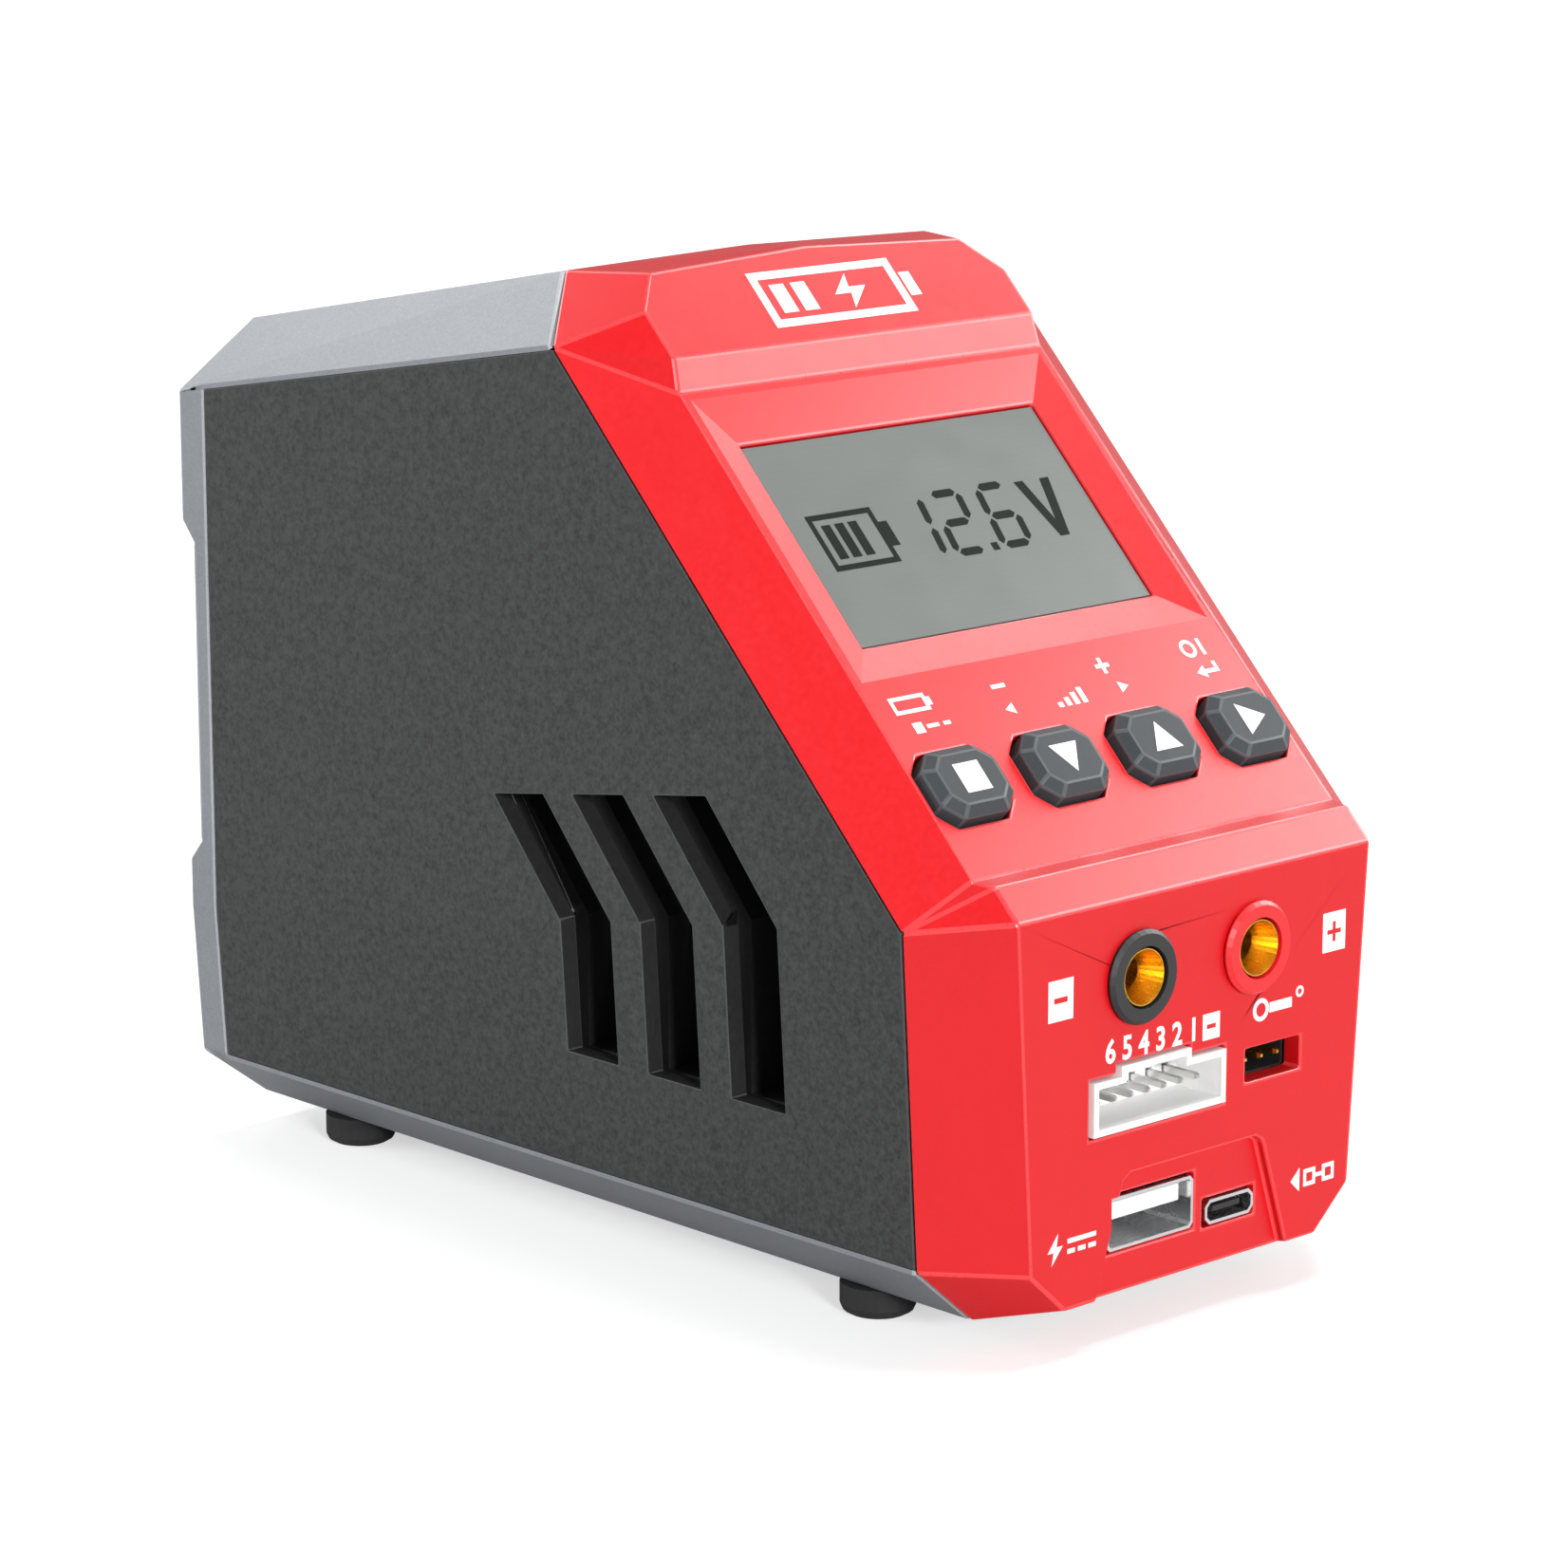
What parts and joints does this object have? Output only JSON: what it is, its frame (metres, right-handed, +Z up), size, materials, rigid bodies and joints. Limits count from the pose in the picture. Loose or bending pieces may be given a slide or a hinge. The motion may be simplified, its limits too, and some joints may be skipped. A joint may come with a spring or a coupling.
{
  "type": "balance battery charger",
  "caption": "Desktop battery charger in a sloped case with a display, push keys, output sockets, balance and USB ports in front, side vents and a rear fan.",
  "frame": {"origin": "on the floor under the middle of the bounding box of the charger, feet included", "axes": "+Z up, -Y out of the front face with the output sockets, +X to the right as seen by someone facing that front, which is the side of the positive output"},
  "size_m": [0.069, 0.127, 0.1076],
  "materials": {
    "red_plastic": "satin moulded red plastic",
    "silver_paint": "satin silver-grey painted plastic",
    "graphite_plastic": "fine-grained dark grey plastic",
    "black_plastic": "matt black plastic",
    "display_glass": "grey liquid-crystal display with a smooth face",
    "key_rubber": "matt grey moulded key",
    "white_nylon": "off-white nylon",
    "red_ring": "glossy red insulator",
    "brass": "gold-plated contact",
    "tinned_brass": "tin-plated brass pins",
    "steel": "plated steel",
    "chrome": "bright plated shell",
    "module_steel": "plain sheet-metal frame of the display module",
    "circuit_board": "green solder mask",
    "clear_film": "translucent insulating film",
    "aluminium": "extruded, unfinished",
    "ferrite": "dark grey sintered ferrite",
    "yellow_tape": "yellow polyester tape over the winding",
    "capacitor_sleeve": "dark blue shrink sleeve",
    "copper_wire": "enamelled copper winding",
    "flat_cable": "grey flat cable insulation",
    "black_insulation": "black silicone insulation",
    "red_insulation": "red silicone insulation",
    "rubber": "matt black rubber"
  },
  "bodies": {
    "charger": {"front_shell": "red_plastic", "case_shell": "silver_paint", "left_side_panel": "graphite_plastic", "right_side_panel": "graphite_plastic", "rear_panel": "graphite_plastic", "left_vent_duct": "black_plastic", "right_vent_duct": "black_plastic", "fan_frame": "black_plastic", "ac_inlet": "black_plastic", "dc_inlet": "black_plastic", "negative_collar": "black_plastic", "temp_header": "black_plastic", "micro_usb_tongue": "black_plastic", "key_switches": "black_plastic", "transistor_bank": "black_plastic", "buzzer": "black_plastic", "lcd_glass": "display_glass", "balance_header": "white_nylon", "usb_a_tongue": "white_nylon", "positive_collar": "red_ring", "negative_contact": "brass", "positive_contact": "brass", "temp_pins": "brass", "balance_pins": "tinned_brass", "fan_guard": "steel", "fan_screw_lower_left": "steel", "fan_screw_lower_right": "steel", "fan_screw_upper_left": "steel", "fan_screw_upper_right": "steel", "board_screw_front_left": "steel", "board_screw_front_right": "steel", "board_screw_rear_left": "steel", "board_screw_rear_right": "steel", "ac_pin_left": "steel", "ac_pin_right": "steel", "dc_inlet_pin": "steel", "usb_a_shell": "chrome", "micro_usb_shell": "chrome", "lcd_module": "module_steel", "control_board": "circuit_board", "main_board": "circuit_board", "insulation_sheet": "clear_film", "heatsink": "aluminium", "transformer_core": "ferrite", "transformer_coil": "yellow_tape", "input_capacitor": "capacitor_sleeve", "output_capacitor": "capacitor_sleeve", "inductor": "copper_wire", "ribbon_cable": "flat_cable", "negative_lead": "black_insulation", "positive_lead": "red_insulation", "foot_front_left": "rubber", "foot_front_right": "rubber", "foot_rear_left": "rubber", "foot_rear_right": "rubber"},
    "button_stop": {"button_stop": "key_rubber"},
    "button_down": {"button_down": "key_rubber"},
    "button_up": {"button_up": "key_rubber"},
    "button_start": {"button_start": "key_rubber"},
    "fan_rotor": {"fan_rotor": "black_plastic"}
  },
  "joints": [
    {"name": "button_stop_press", "type": "slide", "parent": "charger", "child": "button_stop", "axis": [0, 0.7133, -0.7009], "range_m": [0, 0.0006], "stiffness_N_per_m": 300, "springref_m": -0.0005},
    {"name": "button_down_press", "type": "slide", "parent": "charger", "child": "button_down", "axis": [0, 0.7133, -0.7009], "range_m": [0, 0.0006], "stiffness_N_per_m": 300, "springref_m": -0.0005},
    {"name": "button_up_press", "type": "slide", "parent": "charger", "child": "button_up", "axis": [0, 0.7133, -0.7009], "range_m": [0, 0.0006], "stiffness_N_per_m": 300, "springref_m": -0.0005},
    {"name": "button_start_press", "type": "slide", "parent": "charger", "child": "button_start", "axis": [0, 0.7133, -0.7009], "range_m": [0, 0.0006], "stiffness_N_per_m": 300, "springref_m": -0.0005},
    {"name": "fan_spin", "type": "hinge", "parent": "charger", "child": "fan_rotor", "pos_m": [0, 0.05735, 0.058], "axis": [0, 1, 0], "continuous": true}
  ]
}
